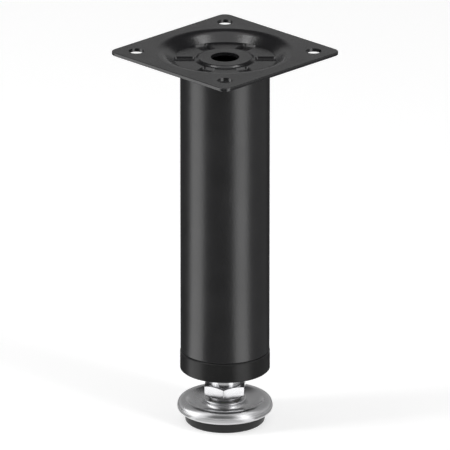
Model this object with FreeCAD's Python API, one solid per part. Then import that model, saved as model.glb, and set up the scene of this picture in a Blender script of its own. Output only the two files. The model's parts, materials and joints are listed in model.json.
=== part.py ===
import FreeCAD, Part
import math
import os

from FreeCAD import Vector

# Adjustable furniture leg: a pressed mounting plate on a round tube, and a screw-in levelling foot.
# Millimetres, +Z up. The origin is the middle of the pad's underside, on the floor.
# The plate's sides run along X and Y.

# Leg tube
tube_d = 38.0
tube_wall = 1.5
tube_length = 128.65
tube_end_break = 0.3

# Mounting plate, pressed from one sheet
plate_side = 70.0
plate_sheet = 1.5
plate_corner_r = 4.0
plate_edge_break = 0.35
screw_inset = 8.5
screw_hole_d = 6.6
dish_floor_margin = 2.6
dish_wall_run = 5.4
dish_depth = 3.6
dish_mouth_bend = 7.0
dish_floor_bend = 0.5
dish_flat = 0.5
boss_top_d = 22.5
boss_wall_run = 1.4
boss_rise = 0.9
boss_edge_bend = 1.0
boss_foot_bend = 2.0
boss_hole_d = 12.1
bead_count = 6
bead_from_boss = 0.1
bead_run_out = 0.0
bead_width = 6.4
bead_depth = 1.05
bead_slope_run = 0.45
bead_corner_r = 1.3
bead_bend = 0.35
bead_first_angle = 45.0

# End plug that closes the tube's lower end
plug_proud = 0.2
plug_band = 8.45
plug_edge_break = 0.4
plug_spigot_length = 16.0
plug_wall = 2.0
plug_hub_wall = 2.5
plug_web = 1.6
plug_web_count = 6
plug_rib_count = 4
plug_rib_width = 1.4
plug_rib_height = 0.35
plug_lead_in = 1.2

# Threaded insert in the plug
insert_length = 20.0
insert_d = 14.0
insert_flange_step = 2.5
insert_flange = 1.6
insert_mouth_break = 0.6

# Levelling stud: thread, collar, hexagon, shoulder, neck and ball, turned from one bar
thread_d = 10.0
thread_length = 30.5
thread_end_break = 1.2
collar_step = 1.6
collar_height = 2.6
collar_edge_break = 0.3
hex_flats = 17.0
hex_height = 5.1
hex_chamfer_angle = 26.0
hex_chamfer_inset = 0.3
hex_front_angle = -48.5
shoulder_inset = 1.1
shoulder_run = 0.15
shoulder_height = 1.7
neck_d = 6.0
ball_d = 8.4
hex_to_plug = 6.45

# Base shell, pressed from one sheet, with a beaded lip and a rolled rim
shell_sheet = 1.2
rim_d = 40.9
rim_roll_r = 2.35
rim_return = 0.35
crest_run = 1.2
crest_bend = 2.0
valley_drop = 2.0
valley_run = 3.7
valley_bend = 6.5
neck_wall_room = 1.45
neck_foot_bend = 2.2
lip_bend = 0.3
lip_over_valley = 2.7
lip_bead_r = 0.65
lip_bead_drop = 0.1

# Pad, ball liner and thrust cup
pad_exposed = 4.5
pad_taper = 0.6
pad_edge_break = 0.5
pad_under_cup = 1.55
liner_wall = 2.75
liner_top_rise = 2.65
liner_low_drop = 0.2
cup_wall = 0.95
cup_rim_drop = 1.2
seat_rim_drop = 1.7
seat_pocket_room = 1.2

# Clearances between pieces
press_gap = 0.04
thread_gap = 0.08
ball_gap = 0.05
socket_gap = 0.08
pad_gap = 0.12
rim_snap_gap = 0.15
lip_gap = 0.65

# A cut starts and ends this far outside the metal that it opens
past = 1.0

# Two bends may take up this share of the straight between their corners
bend_share = 0.98

# Radii that follow from the sizes
tube_bore_r = tube_d / 2.0 - tube_wall
plug_r = tube_d / 2.0 + plug_proud
dish_floor_r = tube_d / 2.0 + dish_floor_margin
dish_mouth_r = dish_floor_r + dish_wall_run
boss_base_r = boss_top_d / 2.0 + boss_wall_run
bead_inner_r = boss_base_r + bead_from_boss
bead_outer_r = dish_floor_r + bead_run_out
insert_flange_r = insert_d / 2.0 + insert_flange_step
collar_r = thread_d / 2.0 + collar_step
hex_chamfer_r = hex_flats / 2.0 - hex_chamfer_inset
shoulder_top_r = hex_flats / 2.0 - shoulder_inset
shoulder_low_r = shoulder_top_r - shoulder_run
ball_room_r = ball_d / 2.0 + ball_gap
cup_outer_r = ball_room_r + cup_wall
liner_r = ball_room_r + liner_wall
neck_wall_r = liner_r + neck_wall_room
seat_pocket_r = liner_r + seat_pocket_room
rim_r = rim_d / 2.0
rim_opening_r = rim_r - rim_roll_r - rim_return
crest_r = rim_r - rim_roll_r - crest_run
valley_r = crest_r - valley_run
pad_top_r = rim_opening_r - rim_snap_gap
pad_face_r = pad_top_r - pad_taper

# Levels that follow from the sizes
ball_centre_height = pad_under_cup + ball_gap + cup_outer_r
crest_level = pad_exposed + 2.0 * rim_roll_r
valley_level = crest_level - valley_drop
lip_level = valley_level + lip_over_valley
shoulder_level = lip_level + lip_gap
hex_level = shoulder_level + shoulder_height
collar_level = hex_level + hex_height
thread_level = collar_level + collar_height
plug_level = collar_level + hex_to_plug
tube_level = plug_level + plug_band
tube_top_level = tube_level + tube_length
dish_floor_level = tube_top_level + bead_depth + plate_sheet
plate_top_level = dish_floor_level + dish_depth
boss_top_level = dish_floor_level + boss_rise


# Profiles: each is a list of points (radius, height) in the XZ plane


def turn_at(before, here, after):
    """Signed angle by which the path turns at the middle point."""
    first = math.atan2(here[1] - before[1], here[0] - before[0])
    second = math.atan2(after[1] - here[1], after[0] - here[0])
    turn = second - first
    while turn > math.pi:
        turn -= 2.0 * math.pi
    while turn < -math.pi:
        turn += 2.0 * math.pi
    return turn


def step_towards(start, end, distance):
    """The point at the given distance from start on the way to end."""
    length = math.dist(start, end)
    share = distance / length
    return (start[0] + (end[0] - start[0]) * share, start[1] + (end[1] - start[1]) * share)


def fitted_bends(points, bends):
    """The bend radii, made smaller where two neighbouring bends would meet."""
    half_tangents = []
    for index in range(len(bends)):
        turn = turn_at(points[index], points[index + 1], points[index + 2])
        half_tangents.append(max(math.tan(abs(turn) / 2.0), 1e-9))
    reaches = [bend * tangent for bend, tangent in zip(bends, half_tangents)]
    reaches = [0.0] + reaches + [0.0]
    for index in range(len(points) - 1):
        room = bend_share * math.dist(points[index], points[index + 1])
        wanted = reaches[index] + reaches[index + 1]
        if wanted > room:
            reaches[index] *= room / wanted
            reaches[index + 1] *= room / wanted
    return [reach / tangent for reach, tangent in zip(reaches[1:-1], half_tangents)]


def bent_path(points, bends):
    """A path through the points, with each inner corner rounded by its bend radius."""
    pieces = []
    last = points[0]
    for index, radius in enumerate(bends, 1):
        before, here, after = points[index - 1], points[index], points[index + 1]
        half_turn = abs(turn_at(before, here, after)) / 2.0
        reach = radius * math.tan(half_turn)
        if reach < 0.01:
            pieces.append((last, here))
            last = here
            continue
        begin = step_towards(here, before, reach)
        end = step_towards(here, after, reach)
        chord_middle = ((begin[0] + end[0]) / 2.0, (begin[1] + end[1]) / 2.0)
        middle = step_towards(here, chord_middle, radius / math.cos(half_turn) - radius)
        if math.dist(last, begin) > 1e-6:
            pieces.append((last, begin))
        pieces.append((begin, middle, end))
        last = end
    pieces.append((last, points[-1]))
    return pieces


def rounded_path(points, bends):
    """A path through the points, with bends that are fitted to its sides first."""
    return bent_path(points, fitted_bends(points, bends))


def offset_path(points, bends, distance):
    """The path moved to its right-hand side by a distance, with bends that stay concentric."""
    moved = []
    count = len(points)
    for index, here in enumerate(points):
        before = points[index - 1] if index > 0 else None
        after = points[index + 1] if index < count - 1 else None
        normals = []
        for start, end in ((before, here), (here, after)):
            if start is not None and end is not None:
                length = math.dist(start, end)
                normals.append(((end[1] - start[1]) / length, -(end[0] - start[0]) / length))
        if len(normals) == 1:
            shift = (normals[0][0] * distance, normals[0][1] * distance)
        else:
            total = (normals[0][0] + normals[1][0], normals[0][1] + normals[1][1])
            scale = 2.0 * distance / (total[0] ** 2 + total[1] ** 2)
            shift = (total[0] * scale, total[1] * scale)
        moved.append((here[0] + shift[0], here[1] + shift[1]))
    new_bends = []
    for index, bend in enumerate(bends):
        turn = turn_at(points[index], points[index + 1], points[index + 2])
        new_bends.append(max(bend - distance, 0.0) if turn < 0 else bend + distance)
    return moved, new_bends


def to_vector(point):
    return Vector(point[0], 0.0, point[1])


def edges_of(pieces):
    """Straight and round edges in the XZ plane."""
    edges = []
    for piece in pieces:
        ends = [to_vector(point) for point in piece]
        if len(ends) == 3:
            edges.append(Part.Arc(*ends).toShape())
        else:
            edges.append(Part.LineSegment(*ends).toShape())
    return edges


def reversed_pieces(pieces):
    return [tuple(reversed(piece)) for piece in reversed(pieces)]


def revolved(pieces, centre=(0.0, 0.0)):
    """Turn a closed run of pieces round the vertical line through the centre."""
    face = Part.Face(Part.Wire(edges_of(pieces)))
    solid = face.revolve(Vector(0, 0, 0), Vector(0, 0, 1), 360)
    solid.translate(Vector(centre[0], centre[1], 0))
    return solid


def turned(points, bends=None):
    """A turned solid from a closed outline of (radius, height) points."""
    if bends is None:
        bends = [0.0] * len(points)
    closed = list(points) + [points[0]]
    return revolved(rounded_path(closed, bends[1:]))


def sheet_section(points, bends, sheet):
    """Closed section of a pressed sheet whose outer line is given, with the metal on its right."""
    bends = fitted_bends(points, bends)
    outer = bent_path(points, bends)
    inner_points, inner_bends = offset_path(points, bends, sheet)
    inner = rounded_path(inner_points, inner_bends)
    start_edge = [(inner[0][0], outer[0][0])]
    end_edge = [(outer[-1][-1], inner[-1][-1])]
    return start_edge + outer + end_edge + reversed_pieces(inner)


def cylinder(radius, low, high, centre=(0.0, 0.0)):
    return Part.makeCylinder(radius, high - low, Vector(centre[0], centre[1], low))


def ball(radius, height):
    return Part.makeSphere(radius, Vector(0, 0, height), Vector(0, 0, 1), -90, 90, 360)


def circle_places(count, radius, first_angle):
    """Points evenly spaced on a circle, with their angles in degrees."""
    places = []
    for index in range(count):
        angle = first_angle + index * 360.0 / count
        x = radius * math.cos(math.radians(angle))
        y = radius * math.sin(math.radians(angle))
        places.append((x, y, angle))
    return places


def square_corners(spacing):
    half = spacing / 2.0
    return [(-half, -half), (half, -half), (half, half), (-half, half)]


# Mounting plate


def dish_section():
    """Section of the pressed dish, from the boss hole out to the flat, and the radius it ends at."""
    wall_angle = math.atan2(dish_depth, dish_wall_run)
    flat_r = dish_mouth_r + dish_mouth_bend * math.tan(wall_angle / 2.0) + dish_flat
    points = [
        (boss_hole_d / 2.0, boss_top_level),
        (boss_top_d / 2.0, boss_top_level),
        (boss_base_r, dish_floor_level),
        (dish_floor_r, dish_floor_level),
        (dish_mouth_r, plate_top_level),
        (flat_r, plate_top_level),
    ]
    bends = [boss_edge_bend, boss_foot_bend, dish_floor_bend, dish_mouth_bend]
    return sheet_section(points, bends, plate_sheet), flat_r


def bead_section(half, grow, mouth_level, above):
    """Section of a bead: upright above its mouth, then sloping in to a flat bottom."""
    low = mouth_level - bead_depth
    high = mouth_level + above
    side = [(half, high), (half, mouth_level), (half - bead_slope_run, low)]
    return side, [0.0, bead_bend + grow]


def bead_bar(half, reach, grow, mouth_level, above):
    """A bar along X with a bead's section, half as wide as given, from -reach to +reach."""
    side, bends = bead_section(half, grow, mouth_level, above)
    other_side = [(-x, z) for x, z in reversed(side)]
    top = (0.0, side[0][1])
    outline = [top] + side + other_side + [top]
    bar = Part.Face(Part.Wire(edges_of(rounded_path(outline, [0.0] + bends + bends[::-1] + [0.0]))))
    bar.rotate(Vector(0, 0, 0), Vector(0, 0, 1), 90)
    bar.translate(Vector(-reach, 0, 0))
    return bar.extrude(Vector(2.0 * reach, 0, 0))


def bead_form(grow, mouth_level, above):
    """A radial bead along +X with rounded corners, grown all round by the sheet where asked."""
    spread = grow * math.tan(math.atan2(bead_depth, bead_slope_run) / 2.0)
    half_width = bead_width / 2.0 + spread
    half_length = (bead_outer_r - bead_inner_r) / 2.0 + spread
    corner_r = bead_corner_r + spread
    side, bends = bead_section(corner_r, grow, mouth_level, above)
    half_section = [(0.0, side[0][1])] + side + [(0.0, side[-1][1]), (0.0, side[0][1])]
    corner = rounded_path(half_section, [0.0] + bends + [0.0])
    lengthwise = bead_bar(half_width, half_length - corner_r, grow, mouth_level, above)
    across = bead_bar(half_length, half_width - corner_r, grow, mouth_level, above)
    across.rotate(Vector(0, 0, 0), Vector(0, 0, 1), 90)
    corners = []
    for x in (corner_r - half_length, half_length - corner_r):
        for y in (corner_r - half_width, half_width - corner_r):
            corners.append(revolved(corner, (x, y)))
    form = lengthwise.fuse([across] + corners)
    form.translate(Vector((bead_inner_r + bead_outer_r) / 2.0, 0, 0))
    return form


def around_dish(form):
    """Copies of a form at every bead position."""
    copies = []
    for _, _, angle in circle_places(bead_count, 1.0, bead_first_angle):
        copy = form.copy()
        copy.rotate(Vector(0, 0, 0), Vector(0, 0, 1), angle)
        copies.append(copy)
    return copies


def make_mounting_plate():
    half = plate_side / 2.0
    low = plate_top_level - plate_sheet
    section, flat_r = dish_section()
    slab = Part.makeBox(plate_side, plate_side, plate_sheet, Vector(-half, -half, low))
    upright = [edge for edge in slab.Edges if abs(edge.tangentAt(edge.FirstParameter).z) > 0.99]
    slab = slab.makeFillet(plate_corner_r, upright)
    rims = [edge for edge in slab.Edges if abs(edge.tangentAt(edge.FirstParameter).z) < 0.01]
    slab = slab.makeFillet(plate_edge_break, rims)
    slab = slab.cut(cylinder(flat_r, low - past, plate_top_level + past))
    underside = dish_floor_level - plate_sheet
    ridges = around_dish(bead_form(plate_sheet, underside, plate_sheet / 2.0))
    troughs = around_dish(bead_form(0.0, dish_floor_level, dish_depth))
    plate = slab.fuse([revolved(section)] + ridges)
    holes = []
    for corner in square_corners(plate_side - 2.0 * screw_inset):
        holes.append(cylinder(screw_hole_d / 2.0, low - past, plate_top_level + past, corner))
    plate = plate.cut(troughs + holes)
    return plate.removeSplitter()


# Tube, plug and insert


def make_leg_tube():
    outer = tube_d / 2.0
    return turned(
        [
            (tube_bore_r, tube_level),
            (outer - tube_end_break, tube_level),
            (outer, tube_level + tube_end_break),
            (outer, tube_top_level),
            (tube_bore_r, tube_top_level),
        ]
    )


def make_end_plug():
    """Moulded plug: outer band, ribbed spigot in the tube, hub round the insert, and webs."""
    rib_r = tube_bore_r - press_gap
    spigot_r = rib_r - plug_rib_height
    top = tube_level + plug_spigot_length
    hub_r = insert_d / 2.0 + press_gap + plug_hub_wall
    body = turned(
        [
            (0.0, plug_level),
            (plug_r - plug_edge_break, plug_level),
            (plug_r, plug_level + plug_edge_break),
            (plug_r, tube_level - plug_edge_break),
            (plug_r - plug_edge_break, tube_level),
            (spigot_r, tube_level),
            (spigot_r, top - plug_lead_in),
            (spigot_r - plug_lead_in, top),
            (0.0, top),
        ]
    )
    ribs = []
    pitch = (plug_spigot_length - plug_lead_in) / plug_rib_count
    for index in range(plug_rib_count):
        low = tube_level + (index + 0.5) * pitch - plug_rib_width / 2.0
        ribs.append(
            turned(
                [
                    (spigot_r - plug_wall / 2.0, low),
                    (rib_r, low),
                    (rib_r, low + plug_rib_width / 2.0),
                    (spigot_r, low + plug_rib_width),
                    (spigot_r - plug_wall / 2.0, low + plug_rib_width),
                ]
            )
        )
    pocket = cylinder(spigot_r - plug_wall, tube_level, top + past)
    pocket = pocket.cut(cylinder(hub_r, tube_level - past, top + 2.0 * past))
    webs = []
    for _, _, angle in circle_places(plug_web_count, 1.0, 0.0):
        web = Part.makeBox(
            spigot_r - plug_wall, plug_web, plug_spigot_length, Vector(0, -plug_web / 2.0, tube_level)
        )
        web.rotate(Vector(0, 0, 0), Vector(0, 0, 1), angle)
        webs.append(web)
    pocket = pocket.cut(webs)
    insert_room = cylinder(insert_d / 2.0 + press_gap, plug_level - past, top + past)
    flange_top = plug_level + insert_flange + press_gap
    flange_room = cylinder(insert_flange_r + press_gap, plug_level - past, flange_top)
    return body.fuse(ribs).cut([pocket, insert_room, flange_room]).removeSplitter()


def make_threaded_insert():
    bore_r = thread_d / 2.0
    top = plug_level + insert_length
    return turned(
        [
            (bore_r + insert_mouth_break, plug_level),
            (insert_flange_r, plug_level),
            (insert_flange_r, plug_level + insert_flange),
            (insert_d / 2.0, plug_level + insert_flange),
            (insert_d / 2.0, top),
            (bore_r + insert_mouth_break, top),
            (bore_r, top - insert_mouth_break),
            (bore_r, plug_level + insert_mouth_break),
        ]
    )


# Levelling foot


def make_foot_stud():
    """Thread, collar, chamfered hexagon, shoulder, neck and ball on one axis."""
    thread_r = thread_d / 2.0 - thread_gap
    top = thread_level + thread_length
    upper = turned(
        [
            (0.0, collar_level),
            (collar_r, collar_level),
            (collar_r, thread_level - collar_edge_break),
            (collar_r - collar_edge_break, thread_level),
            (thread_r, thread_level),
            (thread_r, top - thread_end_break),
            (thread_r - thread_end_break, top),
            (0.0, top),
        ]
    )
    lower = turned(
        [
            (0.0, ball_centre_height),
            (neck_d / 2.0, ball_centre_height),
            (neck_d / 2.0, shoulder_level),
            (shoulder_low_r, shoulder_level),
            (shoulder_top_r, hex_level),
            (0.0, hex_level),
        ]
    )
    corner_r = hex_flats / math.sqrt(3.0)
    corners = []
    for x, y, _ in circle_places(6, corner_r, hex_front_angle):
        corners.append(Vector(x, y, hex_level))
    prism = Part.Face(Part.makePolygon(corners + [corners[0]])).extrude(Vector(0, 0, hex_height))
    wide_r = corner_r + past
    drop = (wide_r - hex_chamfer_r) * math.tan(math.radians(hex_chamfer_angle))
    envelope = turned(
        [
            (0.0, hex_level),
            (hex_chamfer_r, hex_level),
            (wide_r, hex_level + drop),
            (wide_r, collar_level - drop),
            (hex_chamfer_r, collar_level),
            (0.0, collar_level),
        ]
    )
    hexagon = prism.common(envelope)
    return upper.fuse([hexagon, lower, ball(ball_d / 2.0, ball_centre_height)]).removeSplitter()


def shell_path():
    """Outer line of the base shell, from the lip's edge out and round the rolled rim."""
    points = [
        (neck_d / 2.0, lip_level),
        (neck_wall_r, lip_level),
        (neck_wall_r, valley_level),
        (valley_r, valley_level),
        (crest_r, crest_level),
        (rim_r, crest_level),
        (rim_r, pad_exposed),
        (rim_opening_r, pad_exposed),
    ]
    bends = [lip_bend, neck_foot_bend, valley_bend, crest_bend, rim_roll_r, rim_roll_r]
    return points, fitted_bends(points, bends)


def make_base_shell():
    points, bends = shell_path()
    shell = revolved(sheet_section(points, bends, shell_sheet))
    bead = Part.makeTorus(neck_wall_r, lip_bead_r, Vector(0, 0, lip_level - lip_bead_drop))
    socket = ball(liner_r + socket_gap, ball_centre_height)
    return shell.fuse(bead).cut(socket).removeSplitter()


def make_ball_liner():
    """Ring between the stud's ball and the lip: round outside, cupped over the ball inside."""
    low = ball_centre_height - liner_low_drop
    high = ball_centre_height + liner_top_rise
    ring = ball(liner_r, ball_centre_height).common(cylinder(liner_r + past, low, high))
    neck_room = cylinder(neck_d / 2.0 + ball_gap, low, high + past)
    return ring.cut([ball(ball_room_r, ball_centre_height), neck_room])


def make_thrust_cup():
    """Cup under the ball, round on both faces."""
    below_rim = cylinder(cup_outer_r + past, 0.0, ball_centre_height - cup_rim_drop)
    cup = ball(cup_outer_r, ball_centre_height).common(below_rim)
    return cup.cut(ball(ball_room_r, ball_centre_height))


def make_base_pad():
    """Pad that snaps into the rolled rim, with the cup's round seat in its middle."""
    points, bends = shell_path()
    under, under_bends = offset_path(points, bends, shell_sheet)
    valley = 3
    seat_level = under[valley][1]
    snap, snap_bends = offset_path(under[valley:], under_bends[valley:], pad_gap)
    pocket_level = ball_centre_height - seat_rim_drop
    outline = [
        (0.0, 0.0),
        (0.0, pocket_level),
        (seat_pocket_r, pocket_level),
        (seat_pocket_r, seat_level),
        (snap[0][0], seat_level),
    ]
    outline += snap[1:-1]
    outline += [
        (pad_top_r, snap[-1][1]),
        (pad_top_r, pad_exposed),
        (pad_face_r, pad_edge_break),
        (pad_face_r - pad_edge_break, 0.0),
    ]
    outline_bends = [0.0] * 4 + [under_bends[valley - 1]] + snap_bends + [0.0] * 4
    pad = turned(outline, outline_bends)
    return pad.cut(ball(cup_outer_r + ball_gap, ball_centre_height))


pieces = {
    "mounting_plate": make_mounting_plate,
    "leg_tube": make_leg_tube,
    "end_plug": make_end_plug,
    "threaded_insert": make_threaded_insert,
    "foot_stud": make_foot_stud,
    "ball_liner": make_ball_liner,
    "thrust_cup": make_thrust_cup,
    "base_shell": make_base_shell,
    "base_pad": make_base_pad,
}

os.makedirs("parts", exist_ok=True)
for name, make in pieces.items():
    shape = make()
    if len(shape.Solids) == 1:
        shape = shape.Solids[0]
    shape.exportStep("parts/" + name + ".step")
    box = shape.optimalBoundingBox()
    print(
        name,
        "solids", len(shape.Solids),
        "valid", shape.isValid(),
        "volume", round(shape.Volume, 1),
        "z", round(box.ZMin, 2), round(box.ZMax, 2),
        "width", round(box.XLength, 2),
    )
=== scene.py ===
import json
import math

import bpy
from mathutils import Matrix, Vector


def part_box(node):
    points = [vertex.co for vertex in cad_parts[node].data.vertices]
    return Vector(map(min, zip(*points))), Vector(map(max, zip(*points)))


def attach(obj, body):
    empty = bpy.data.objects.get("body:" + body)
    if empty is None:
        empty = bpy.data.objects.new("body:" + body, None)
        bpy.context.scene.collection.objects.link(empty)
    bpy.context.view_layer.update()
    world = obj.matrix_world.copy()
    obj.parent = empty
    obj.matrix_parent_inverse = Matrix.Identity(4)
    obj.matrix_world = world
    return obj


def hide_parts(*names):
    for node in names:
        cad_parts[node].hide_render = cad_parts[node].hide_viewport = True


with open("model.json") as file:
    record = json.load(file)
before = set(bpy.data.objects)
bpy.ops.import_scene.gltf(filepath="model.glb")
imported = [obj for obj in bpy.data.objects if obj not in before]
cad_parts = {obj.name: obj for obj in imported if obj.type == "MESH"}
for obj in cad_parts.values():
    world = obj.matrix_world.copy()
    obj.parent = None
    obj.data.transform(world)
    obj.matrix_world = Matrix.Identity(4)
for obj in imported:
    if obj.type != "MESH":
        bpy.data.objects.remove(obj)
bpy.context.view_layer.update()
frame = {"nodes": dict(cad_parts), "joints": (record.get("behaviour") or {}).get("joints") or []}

# Adjustable furniture leg: materials, the finished stud, tube and base shell, studio and camera.
# Lengths are in metres where no comment says millimetres, and angles are in degrees.

MM = 0.001
nodes = frame["nodes"]
joints = {joint["name"]: joint for joint in frame["joints"]}

# Camera, fitted to the photograph's outline
camera_azimuth = 45.0
camera_elevation = 20.24
camera_distance = 4.2543
camera_target_height = 0.08862
camera_clip = (0.1, 20.0)
lens_mm = 800.0
sensor_mm = 36.0

# Levelling stud, in millimetres; crest and root are shares of the thread's pitch
thread_pitch = 1.5
thread_crest = 0.125
thread_root = 0.25
thread_root_depth = 0.92
thread_length = 30.5
thread_run_out = 1.6
thread_end_break = 1.2
thread_r = 4.92
rows_per_turn = 24
face_inset = 0.4
collar_r = 6.6
collar_height = 2.6
collar_edge = 0.3
collar_land = 0.15
hex_flats = 17.0
hex_height = 5.1
hex_chamfer_angle = 26.0
hex_chamfer_r = 8.2
hex_front_angle = -48.5
hex_corner_r = 0.3
hex_corner_centre = (hex_flats / 2.0 - hex_corner_r) / math.cos(math.radians(30.0))
hex_edge_width = 0.1
hex_edge_steps = (-2.2, -0.8, 0.8, 2.2)
hex_face_drop = 0.01
hex_top_inset = 0.12
hex_under_inset = 0.05
shoulder_top_r = 7.4
shoulder_top_fillet = 0.08
shoulder_low_r = 7.25
shoulder_height = 1.7
shoulder_low_edge = [(0.01, 0.2), (-0.02, 0.08), (-0.12, 0.0)]
neck_r = 3.0
neck_fillet_r = 0.3
neck_fillet_height = 0.1
ball_r = 4.2
ball_rings = 18

# Turned pieces
turned_segments = 160
smooth_angle = 38.0

# Tube and the relief at its lower edge, in millimetres
tube_wall = 1.5
seam_depth = 0.9
seam_height = 0.5
seam_edge = 0.15

# Base shell, in millimetres: lengths and (radius, level) points of its section
shell_sheet = 1.2
mouth_curve = [
    (7.25, 8.7), (6.82, 8.7), (6.76, 8.89), (6.67, 9.17), (6.57, 9.45), (6.45, 9.72), (6.37, 9.9)
]
dish_edge_r = 16.2
dish_rise = 2.55
dish_steps = 16
crest_r = 17.25
crest_steps = 6
rim_r = 20.45
rim_steps = 20
rim_foot = [(17.75, 4.5), (17.75, 5.7)]
roll = (18.15, 6.8)
roll_r = 2.3
roll_straight = 0.1
roll_steps = 12
roll_inside_steps = 8

# Arcs of the base shell's section: centre and radius in millimetres, two angles, and steps
neck_inside = ((9.9, 8.65), 2.65, 270.0, 180.0, 8)
lip_bead = ((8.45, 9.8), 0.65, 171.0, -90.0, 24)
neck_foot = ((10.65, 9.4), 2.2, 186.5, 270.0, 14)
crest_inside = ((17.41, 7.2), 0.8, 90.0, 118.4, 4)
dish_inside = ((11.56, 13.7), 7.7, -61.6, -90.0, 10)

# The part of a noise's range that a colour or a roughness follows
noise_low = 0.35
noise_high = 0.65

# Background: 1 is white
world_lighting = 0.5
world_seen = 1.0
floor_grey = 0.68
floor_glow = 0.53
floor_half = 4.0
floor_level = -0.0001

# Name, azimuth from the camera, elevation, distance, width, height, brightness, and whether
# reflections see it
softboxes = [
    ("left_softbox", -78.0, 28.0, 1.1, 0.24, 1.1, 7.0, False),
    ("right_softbox", 50.0, 28.0, 1.2, 0.24, 1.1, 7.0, False),
    ("left_high_softbox", -115.0, 69.0, 1.2, 0.2, 0.2, 3.5, True),
    ("right_high_softbox", 115.0, 69.0, 1.2, 0.2, 0.2, 3.5, True),
]

# Name, azimuths from the camera, two (radius, height) rings, and brightness
card_step = 5.0
lift = 0.0008
studio_cards = [
    ("front_near_card", (-50.0, 30.0), (0.022, lift), (0.06, lift), 0.62),
    ("left_near_card", (-130.0, -62.0), (0.022, lift), (0.041, lift), 0.36),
    ("right_near_card", (50.0, 130.0), (0.022, lift), (0.041, lift), 0.28),
    ("front_pale_card", (24.0, 30.0), (0.06, lift), (1.25, lift), 1.45),
    ("front_floor_card", (-56.0, 24.0), (0.06, lift), (1.25, lift), 0.06),
    ("left_pale_card", (-97.0, -56.0), (0.042, lift), (1.25, lift), 1.45),
    ("right_pale_card", (30.0, 59.0), (0.042, lift), (1.25, lift), 1.45),
    ("right_floor_card", (59.0, 130.0), (0.05, lift), (1.25, lift), 0.16),
    ("back_floor_card", (130.0, 263.0), (0.05, lift), (1.25, lift), 0.05),
    ("foot_back_card", (100.0, 260.0), (0.25, 0.11), (0.1, 0.155), 0.3),
    ("back_low_card", (100.0, 260.0), (1.3, 0.0), (1.3, 0.27), 0.55),
    ("back_right_card", (120.0, 180.0), (1.3, 0.27), (1.3, 0.4), 0.2),
    ("back_left_card", (180.0, 240.0), (1.3, 0.27), (1.3, 0.4), 0.08),
    ("back_band_card", (120.0, 240.0), (1.3, 0.4), (1.3, 0.75), 0.39),
    ("back_high_card", (100.0, 260.0), (1.3, 0.75), (0.7, 1.5), 0.02),
    ("left_strip_card", (-84.0, -70.0), (1.2, 0.0), (1.2, 1.4), 2.1),
    ("right_strip_card", (42.0, 57.0), (1.2, 0.0), (1.2, 1.4), 2.1),
    ("top_card", (0.0, 360.0), (0.0, 1.5), (0.7, 1.5), 0.62),
    ("front_low_card", (-54.0, 30.0), (1.3, 0.0), (1.3, 0.3), 0.85),
    ("front_wall_card", (-46.0, 30.0), (1.3, 0.3), (1.3, 1.0), 0.08),
    ("front_high_card", (-46.0, 30.0), (1.3, 1.0), (0.7, 1.5), 0.12),
    ("right_wall_card", (64.0, 120.0), (1.3, 0.0), (1.3, 1.0), 0.5),
    ("left_wall_card", (-120.0, -112.0), (1.3, 0.0), (1.3, 1.0), 0.4),
    ("left_side_card", (-112.0, -88.0), (1.25, 0.15), (1.25, 0.9), 1.9),
]


# Shader helpers


def new_material(name):
    """An empty node material, with its node tree and output."""
    material = bpy.data.materials.new(name)
    material.use_nodes = True
    tree = material.node_tree
    tree.nodes.clear()
    output = tree.nodes.new("ShaderNodeOutputMaterial")
    return material, tree, output


def principled(tree, output, **values):
    """A principled shader with the given sockets set."""
    shader = tree.nodes.new("ShaderNodeBsdfPrincipled")
    for name, value in values.items():
        shader.inputs[name.replace("_", " ")].default_value = value
    tree.links.new(shader.outputs["BSDF"], output.inputs["Surface"])
    return shader


def noise(tree, scale, detail=2.0, stretch=(1.0, 1.0, 1.0)):
    """Noise in the piece's own coordinates; scale counts its features per metre."""
    place = tree.nodes.new("ShaderNodeTexCoord")
    mapping = tree.nodes.new("ShaderNodeMapping")
    mapping.inputs["Scale"].default_value = stretch
    tree.links.new(place.outputs["Object"], mapping.inputs["Vector"])
    texture = tree.nodes.new("ShaderNodeTexNoise")
    texture.inputs["Scale"].default_value = scale
    texture.inputs["Detail"].default_value = detail
    tree.links.new(mapping.outputs["Vector"], texture.inputs["Vector"])
    return texture.outputs["Fac"]


def vary_colour(tree, shader, value, dark, light):
    """Let the base colour follow a noise between two colours."""
    node = tree.nodes.new("ShaderNodeValToRGB")
    node.color_ramp.elements[0].position = noise_low
    node.color_ramp.elements[0].color = (*dark, 1.0)
    node.color_ramp.elements[1].position = noise_high
    node.color_ramp.elements[1].color = (*light, 1.0)
    tree.links.new(value, node.inputs["Fac"])
    tree.links.new(node.outputs["Color"], shader.inputs["Base Color"])


def vary_roughness(tree, shader, value, roughness, spread):
    """Let the roughness follow a noise by up to spread each way."""
    node = tree.nodes.new("ShaderNodeMapRange")
    node.inputs["From Min"].default_value = noise_low
    node.inputs["From Max"].default_value = noise_high
    node.inputs["To Min"].default_value = roughness - spread
    node.inputs["To Max"].default_value = roughness + spread
    tree.links.new(value, node.inputs["Value"])
    tree.links.new(node.outputs["Result"], shader.inputs["Roughness"])


def bump(tree, shader, heights):
    """Stack (height, strength, distance) bumps under a shader's normal."""
    normal = None
    for height, strength, distance in heights:
        node = tree.nodes.new("ShaderNodeBump")
        node.inputs["Strength"].default_value = strength
        node.inputs["Distance"].default_value = distance
        tree.links.new(height, node.inputs["Height"])
        if normal is not None:
            tree.links.new(normal, node.inputs["Normal"])
        normal = node.outputs["Normal"]
    tree.links.new(normal, shader.inputs["Normal"])


# Materials


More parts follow.
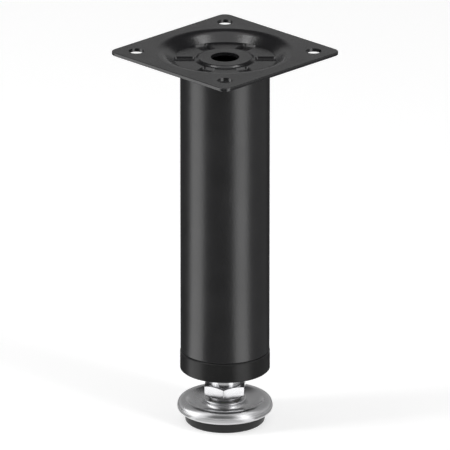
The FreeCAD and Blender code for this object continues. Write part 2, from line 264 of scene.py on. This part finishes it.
def powder_coat(name, roughness, peel_strength):
    """Fine satin black powder coat: a shallow orange peel under a tight grain."""
    material, tree, output = new_material(name)
    shader = principled(tree, output, IOR=1.5, Specular_IOR_Level=1.0)
    tone = noise(tree, scale=55.0, detail=3.0)
    vary_colour(tree, shader, tone, dark=(0.011, 0.011, 0.012), light=(0.015, 0.015, 0.016))
    vary_roughness(tree, shader, noise(tree, scale=90.0), roughness, spread=0.015)
    peel_depth, grain_strength, grain_depth = 0.00015, 0.6, 0.00004
    peel = noise(tree, scale=1100.0)
    grain = noise(tree, scale=1500.0)
    bump(tree, shader, [(peel, peel_strength, peel_depth), (grain, grain_strength, grain_depth)])
    return material


def moulded_black(name, roughness, grain_strength):
    """Black moulded plastic with a fine spark grain."""
    material, tree, output = new_material(name)
    shader = principled(tree, output, IOR=1.5, Specular_IOR_Level=0.35)
    tone = noise(tree, scale=70.0, detail=3.0)
    vary_colour(tree, shader, tone, dark=(0.012, 0.012, 0.012), light=(0.018, 0.018, 0.018))
    vary_roughness(tree, shader, noise(tree, scale=90.0), roughness, spread=0.02)
    grain_depth = 0.00003
    bump(tree, shader, [(noise(tree, scale=2600.0, detail=3.0), grain_strength, grain_depth)])
    return material


def plated_steel(name, roughness, marks):
    """Bright zinc plate, a little cloudy, with faint turned rings where marks is above 0."""
    material, tree, output = new_material(name)
    shader = principled(tree, output, Metallic=1.0)
    cloud = noise(tree, scale=45.0, detail=1.0)
    vary_colour(tree, shader, cloud, dark=(0.69, 0.69, 0.7), light=(0.72, 0.72, 0.73))
    vary_roughness(tree, shader, noise(tree, scale=60.0, detail=1.0), roughness, spread=0.01)
    if marks > 0.0:
        ring_depth = 0.00001
        rings = noise(tree, scale=500.0, detail=1.0, stretch=(0.2, 0.2, 10.0))
        bump(tree, shader, [(rings, marks, ring_depth)])
    return material


def nylon():
    """White moulded nylon, a little translucent."""
    material, tree, output = new_material("white_nylon")
    shader = principled(
        tree, output, IOR=1.53, Roughness=0.42, Subsurface_Weight=0.15, Subsurface_Scale=0.001
    )
    tone = noise(tree, scale=200.0, detail=3.0)
    vary_colour(tree, shader, tone, dark=(0.7, 0.69, 0.64), light=(0.78, 0.77, 0.73))
    grain_strength, grain_depth = 0.1, 0.00001
    bump(tree, shader, [(noise(tree, scale=1500.0), grain_strength, grain_depth)])
    return material


def dress(node, material):
    """Give a carried-over CAD node its material."""
    mesh = nodes[node].data
    mesh.materials.clear()
    mesh.materials.append(material)


# Meshes


def add_mesh(name, points, faces):
    """A new mesh object in the scene."""
    mesh = bpy.data.meshes.new(name)
    mesh.from_pydata(points, [], faces)
    thing = bpy.data.objects.new(name, mesh)
    bpy.context.scene.collection.objects.link(thing)
    return thing


def shade(piece):
    """Smooth shading that leaves real edges sharp."""
    mesh = piece.data
    mesh.validate()
    mesh.update()
    mesh.shade_smooth()
    mesh.set_sharp_from_angle(angle=math.radians(smooth_angle))


# Stud


def stud_angles():
    """Angles round the stud from its first corner, closer together at the six corners."""
    cos_30 = math.cos(math.radians(30.0))
    half = math.degrees(math.atan2(hex_corner_r * 0.5, hex_corner_centre + hex_corner_r * cos_30))
    sector = [half * step for step in (-1.7, -1.0, -0.5, 0.0, 0.5, 1.0, 1.7)]
    corner_end = sector[-1]
    span = 60.0 - 2.0 * corner_end
    flat_count = 6
    for index in range(1, flat_count):
        sector.append(corner_end + span * index / flat_count)
    return [60.0 * side + angle for side in range(6) for angle in sector]


def hex_radius(angle):
    """Radius of the hexagon with its rounded corners, at an angle from a corner."""
    turn = (angle + 30.0) % 60.0 - 30.0
    flat = hex_flats / 2.0 / math.cos(math.radians(30.0 - abs(turn)))
    off = hex_corner_centre * math.sin(math.radians(turn))
    if abs(off) >= hex_corner_r:
        return flat
    along = hex_corner_centre * math.cos(math.radians(turn))
    return min(flat, along + math.sqrt(hex_corner_r**2 - off**2))


def thread_radius(angle, height):
    """Radius of the thread at a height above its lower end, with its run-out and end chamfer."""
    phase = (height / thread_pitch - angle / 360.0) % 1.0
    flank = (1.0 - thread_crest - thread_root) / 2.0
    from_crest = min(phase, 1.0 - phase) - thread_crest / 2.0
    share = min(max(from_crest / flank, 0.0), 1.0)
    fade = min(max(height / thread_run_out, 0.0), 1.0)
    radius = thread_r - thread_root_depth * share * fade
    return min(radius, thread_r - thread_end_break + (thread_length - height))


def stud_rows(top_level, ball_level):
    """Rings of the stud from its thread's end down to the ball: (radius, level) for each angle."""
    thread_level = top_level - thread_length
    collar_level = thread_level - collar_height
    hex_level = collar_level - hex_height
    shoulder_level = hex_level - shoulder_height
    slope = math.tan(math.radians(hex_chamfer_angle))
    rows = []

    def ring(radius, level):
        rows.append(lambda angle: (radius, level))

    def thread_ring(height):
        rows.append(lambda angle: (thread_radius(angle, height), thread_level + height))

    def hex_ring(face, inward, offset):
        """A ring near the edge between chamfer and flats: offset is how far down the flats."""

        def place(angle):
            radius = hex_radius(angle)
            drop = (radius - hex_chamfer_r) * slope
            if offset < 0.0:
                return radius + offset, face + inward * (drop + offset * slope)
            return radius, face + inward * (drop + offset)

        rows.append(place)

    row_count = int(thread_length / thread_pitch * rows_per_turn)
    ring(thread_r - thread_end_break - face_inset, top_level)
    for index in range(row_count, -1, -1):
        thread_ring(thread_length * index / row_count)
    ring(collar_r - collar_edge - face_inset, thread_level)
    bend_steps = 4
    for step in range(bend_steps + 1):
        bend = math.radians(90.0 * step / bend_steps)
        ring(
            collar_r - collar_edge * (1.0 - math.sin(bend)),
            thread_level - collar_edge * (1.0 - math.cos(bend)),
        )
    ring(collar_r, thread_level - collar_edge - collar_land)
    ring(collar_r, collar_level)
    ring(hex_chamfer_r - hex_top_inset, collar_level)
    ring(hex_chamfer_r, collar_level - hex_face_drop)
    for step in hex_edge_steps:
        hex_ring(collar_level, -1.0, step * hex_edge_width * 0.5)
    for step in reversed(hex_edge_steps):
        hex_ring(hex_level, 1.0, step * hex_edge_width * 0.5)
    ring(hex_chamfer_r, hex_level + hex_face_drop)
    ring(hex_chamfer_r - hex_under_inset, hex_level)
    ring(shoulder_top_r + shoulder_top_fillet, hex_level)
    ring(shoulder_top_r, hex_level - shoulder_top_fillet)
    for outward, up in shoulder_low_edge:
        ring(shoulder_low_r + outward, shoulder_level + up)
    ring(neck_r + neck_fillet_r, shoulder_level)
    ring(neck_r, shoulder_level - neck_fillet_height)
    meet = math.asin(neck_r / ball_r)
    for index in range(ball_rings):
        polar = meet + (math.pi - meet) * index / ball_rings
        ring(ball_r * math.sin(polar), ball_level + ball_r * math.cos(polar))
    return rows


def add_stud():
    """The stud as one closed mesh, with its thread, in place of the plain one."""
    top_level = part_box("foot_stud")[1].z / MM
    ball_level = joints["stud_turn"]["pos_m"][2] / MM
    angles = stud_angles()
    rows = stud_rows(top_level, ball_level)
    points = []
    for row in rows:
        for angle in angles:
            radius, level = row(angle)
            turn = math.radians(angle + hex_front_angle)
            points.append((radius * math.cos(turn) * MM, radius * math.sin(turn) * MM, level * MM))
    count = len(angles)
    faces = []
    for row in range(len(rows) - 1):
        here = row * count
        below = here + count
        for column in range(count):
            beside = (column + 1) % count
            faces.append((here + column, below + column, below + beside, here + beside))
    end_centre = len(points)
    points.append((0.0, 0.0, top_level * MM))
    ball_pole = len(points)
    points.append((0.0, 0.0, (ball_level - ball_r) * MM))
    last = (len(rows) - 1) * count
    for column in range(count):
        beside = (column + 1) % count
        faces.append((end_centre, column, beside))
        faces.append((ball_pole, last + beside, last + column))
    stud = add_mesh("levelling_stud", points, faces)
    shade(stud)
    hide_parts("foot_stud")
    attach(stud, "stud")
    return stud


# Tube and base shell


def arc(centre, radius, start, end, count):
    """Points on an arc of a section, at angles from the outward direction."""
    points = []
    for index in range(count + 1):
        turn = math.radians(start + (end - start) * index / count)
        points.append((centre[0] + radius * math.cos(turn), centre[1] + radius * math.sin(turn)))
    return points


def add_turned(name, profile):
    """A closed (radius, level) section in metres, turned round the leg's axis."""
    points = []
    for radius, level in profile:
        for index in range(turned_segments):
            turn = 2.0 * math.pi * index / turned_segments
            points.append((radius * math.cos(turn), radius * math.sin(turn), level))
    faces = []
    for row in range(len(profile)):
        here = row * turned_segments
        below = (row + 1) % len(profile) * turned_segments
        for index in range(turned_segments):
            beside = (index + 1) % turned_segments
            faces.append((here + index, here + beside, below + beside, below + index))
    piece = add_mesh(name, points, faces)
    shade(piece)
    return piece


def add_tube():
    """The tube with its lower edge relieved, which leaves a fine shadow line above the plug."""
    low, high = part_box("leg_tube")
    outer, bottom, top = high.x, low.z, high.z
    bore = outer - tube_wall * MM
    relief, height, edge = seam_depth * MM, seam_height * MM, seam_edge * MM
    middle = edge * 0.3
    profile = [
        (bore, bottom),
        (outer - relief, bottom),
        (outer - relief, bottom + height),
        (outer - edge, bottom + height),
        (outer - middle, bottom + height + middle),
        (outer, bottom + height + edge),
        (outer, bottom + height + edge * 2.0),
        (outer, top - edge),
        (outer, top),
        (bore, top),
    ]
    tube = add_turned("leg_tube_finished", profile)
    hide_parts("leg_tube")
    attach(tube, "leg")
    return tube


def add_shell():
    """The base shell with a fuller rolled rim; its inside is the plain one's, so the pad fits."""
    profile = arc(*neck_inside) + mouth_curve + arc(*lip_bead) + arc(*neck_foot)
    start_r, start_level = profile[-1]
    run = dish_edge_r - start_r
    for index in range(1, dish_steps + 1):
        share = index / dish_steps
        profile.append((start_r + run * share, start_level + dish_rise * share**2))
    edge_slope = math.atan(2.0 * dish_rise / run)
    crest_bend = (crest_r - dish_edge_r) / math.sin(edge_slope)
    bend_centre = (crest_r, profile[-1][1] - crest_bend * math.cos(edge_slope))
    bend_start = 90.0 + math.degrees(edge_slope)
    profile += arc(bend_centre, crest_bend, bend_start, 90.0, crest_steps)[1:]
    crest_level = profile[-1][1]
    upper_roll = (roll[0], roll[1] + roll_straight)
    rise = crest_level - upper_roll[1]
    for index in range(1, rim_steps + 1):
        turn = math.radians(90.0 - 90.0 * index / rim_steps)
        radius = crest_r + (rim_r - crest_r) * math.cos(turn)
        profile.append((radius, upper_roll[1] + rise * math.sin(turn)))
    profile += arc(roll, roll_r, 0.0, -90.0, roll_steps) + rim_foot
    profile += arc(roll, roll_r - shell_sheet, -90.0, 0.0, roll_inside_steps)
    profile += arc(upper_roll, roll_r - shell_sheet, 0.0, 90.0, roll_inside_steps)
    profile += arc(*crest_inside) + arc(*dish_inside)
    profile = [(radius * MM, level * MM) for radius, level in profile]
    shell = add_turned("base_shell_finished", profile)
    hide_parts("base_shell")
    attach(shell, "base")
    return shell


# Studio


def put_round_base(thing):
    """Put a floor or a card under the base's body, so that it stays under the base when the foot
    moves.
    """
    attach(thing, "base")


def seen_ray(tree):
    """1 for camera, glossy and transmission rays, and 0 for the rays that light the object."""
    path = tree.nodes.new("ShaderNodeLightPath")
    total = path.outputs["Is Camera Ray"]
    for name in ("Is Glossy Ray", "Is Transmission Ray"):
        add = tree.nodes.new("ShaderNodeMath")
        add.operation = "MAXIMUM"
        tree.links.new(total, add.inputs[0])
        tree.links.new(path.outputs[name], add.inputs[1])
        total = add.outputs[0]
    return total


def add_world():
    """A soft light from all sides, behind a white background."""
    world = bpy.data.worlds.new("studio")
    bpy.context.scene.world = world
    world.use_nodes = True
    tree = world.node_tree
    tree.nodes.clear()
    output = tree.nodes.new("ShaderNodeOutputWorld")
    lighting = tree.nodes.new("ShaderNodeBackground")
    lighting.inputs["Strength"].default_value = world_lighting
    shown = tree.nodes.new("ShaderNodeBackground")
    shown.inputs["Color"].default_value = (1.0, 1.0, 1.0, 1.0)
    shown.inputs["Strength"].default_value = world_seen
    mix = tree.nodes.new("ShaderNodeMixShader")
    tree.links.new(seen_ray(tree), mix.inputs["Fac"])
    tree.links.new(lighting.outputs[0], mix.inputs[1])
    tree.links.new(shown.outputs[0], mix.inputs[2])
    tree.links.new(mix.outputs[0], output.inputs["Surface"])


def add_floor():
    """Pale floor that takes the object's shadow."""
    corners = [
        (along * floor_half, across * floor_half, floor_level)
        for along, across in ((-1, -1), (1, -1), (1, 1), (-1, 1))
    ]
    floor = add_mesh("floor", corners, [(0, 1, 2, 3)])
    put_round_base(floor)
    material, tree, output = new_material("pale_floor")
    diffuse = tree.nodes.new("ShaderNodeBsdfDiffuse")
    diffuse.inputs["Color"].default_value = (floor_grey, floor_grey, floor_grey, 1.0)
    glow = tree.nodes.new("ShaderNodeEmission")
    strength = tree.nodes.new("ShaderNodeMath")
    strength.operation = "MULTIPLY"
    strength.inputs[1].default_value = floor_glow
    tree.links.new(seen_ray(tree), strength.inputs[0])
    tree.links.new(strength.outputs[0], glow.inputs["Strength"])
    add = tree.nodes.new("ShaderNodeAddShader")
    tree.links.new(diffuse.outputs[0], add.inputs[0])
    tree.links.new(glow.outputs[0], add.inputs[1])
    tree.links.new(add.outputs[0], output.inputs["Surface"])
    floor.data.materials.append(material)


def aim(thing, azimuth, elevation, distance):
    """Put a lamp or the camera at a distance from the object's middle, facing it."""
    a, e = math.radians(azimuth), math.radians(elevation)
    back = Vector((math.sin(a) * math.cos(e), -math.cos(a) * math.cos(e), math.sin(e)))
    middle = Vector((0.0, 0.0, camera_target_height))
    thing.location = middle + back * distance
    thing.rotation_mode = "QUATERNION"
    thing.rotation_quaternion = (middle - thing.location).to_track_quat("-Z", "Y")


def add_softbox(name, azimuth, elevation, distance, width, height, brightness, reflected):
    """A rectangular lamp that faces the object; its power follows from its face's brightness."""
    light = bpy.data.lights.new(name, "AREA")
    light.shape = "RECTANGLE"
    light.size = width
    light.size_y = height
    light.energy = brightness * math.pi * width * height
    lamp = bpy.data.objects.new(name, light)
    bpy.context.scene.collection.objects.link(lamp)
    aim(lamp, camera_azimuth + azimuth, elevation, distance)
    lamp.visible_camera = False
    lamp.visible_glossy = reflected


def add_card(name, azimuths, near, far, brightness):
    """A studio card that only reflections see: a strip between two (radius, height) rings."""
    first, last = azimuths
    steps = max(2, int(abs(last - first) / card_step))
    points = []
    for index in range(steps + 1):
        a = math.radians(camera_azimuth + first + (last - first) * index / steps)
        for radius, height in (near, far):
            points.append((radius * math.sin(a), -radius * math.cos(a), height))
    faces = []
    for here in range(0, 2 * steps, 2):
        faces.append((here, here + 1, here + 3, here + 2))
    card = add_mesh(name, points, faces)
    put_round_base(card)
    card.visible_camera = False
    card.visible_diffuse = False
    card.visible_shadow = False
    card.visible_transmission = False
    material, tree, output = new_material(name)
    glow = tree.nodes.new("ShaderNodeEmission")
    glow.inputs["Strength"].default_value = brightness
    tree.links.new(glow.outputs[0], output.inputs["Surface"])
    card.data.materials.append(material)


def add_camera():
    """The camera that the photograph's outline was fitted with."""
    data = bpy.data.cameras.new("camera")
    data.lens = lens_mm
    data.sensor_width = sensor_mm
    data.clip_start, data.clip_end = camera_clip
    camera = bpy.data.objects.new("camera", data)
    bpy.context.scene.collection.objects.link(camera)
    aim(camera, camera_azimuth, camera_elevation, camera_distance)
    bpy.context.scene.camera = camera


add_camera()

dress("mounting_plate", powder_coat("plate_coat", roughness=0.23, peel_strength=0.2))
dress("end_plug", moulded_black("plug_plastic", roughness=0.34, grain_strength=0.25))
dress("base_pad", moulded_black("pad_plastic", roughness=0.45, grain_strength=0.4))
dress("threaded_insert", plated_steel("insert_plating", roughness=0.2, marks=0.05))
white_nylon = nylon()
dress("ball_liner", white_nylon)
dress("thrust_cup", white_nylon)
shell_plating = plated_steel("shell_plating", roughness=0.28, marks=0.0)
add_shell().data.materials.append(shell_plating)
tube_coat = powder_coat("tube_coat", roughness=0.315, peel_strength=0.3)
add_tube().data.materials.append(tube_coat)
stud_plating = plated_steel("stud_plating", roughness=0.16, marks=0.0)
add_stud().data.materials.append(stud_plating)

add_world()
add_floor()
for softbox in softboxes:
    add_softbox(*softbox)
for card in studio_cards:
    add_card(*card)

bpy.context.scene.view_settings.view_transform = "Standard"
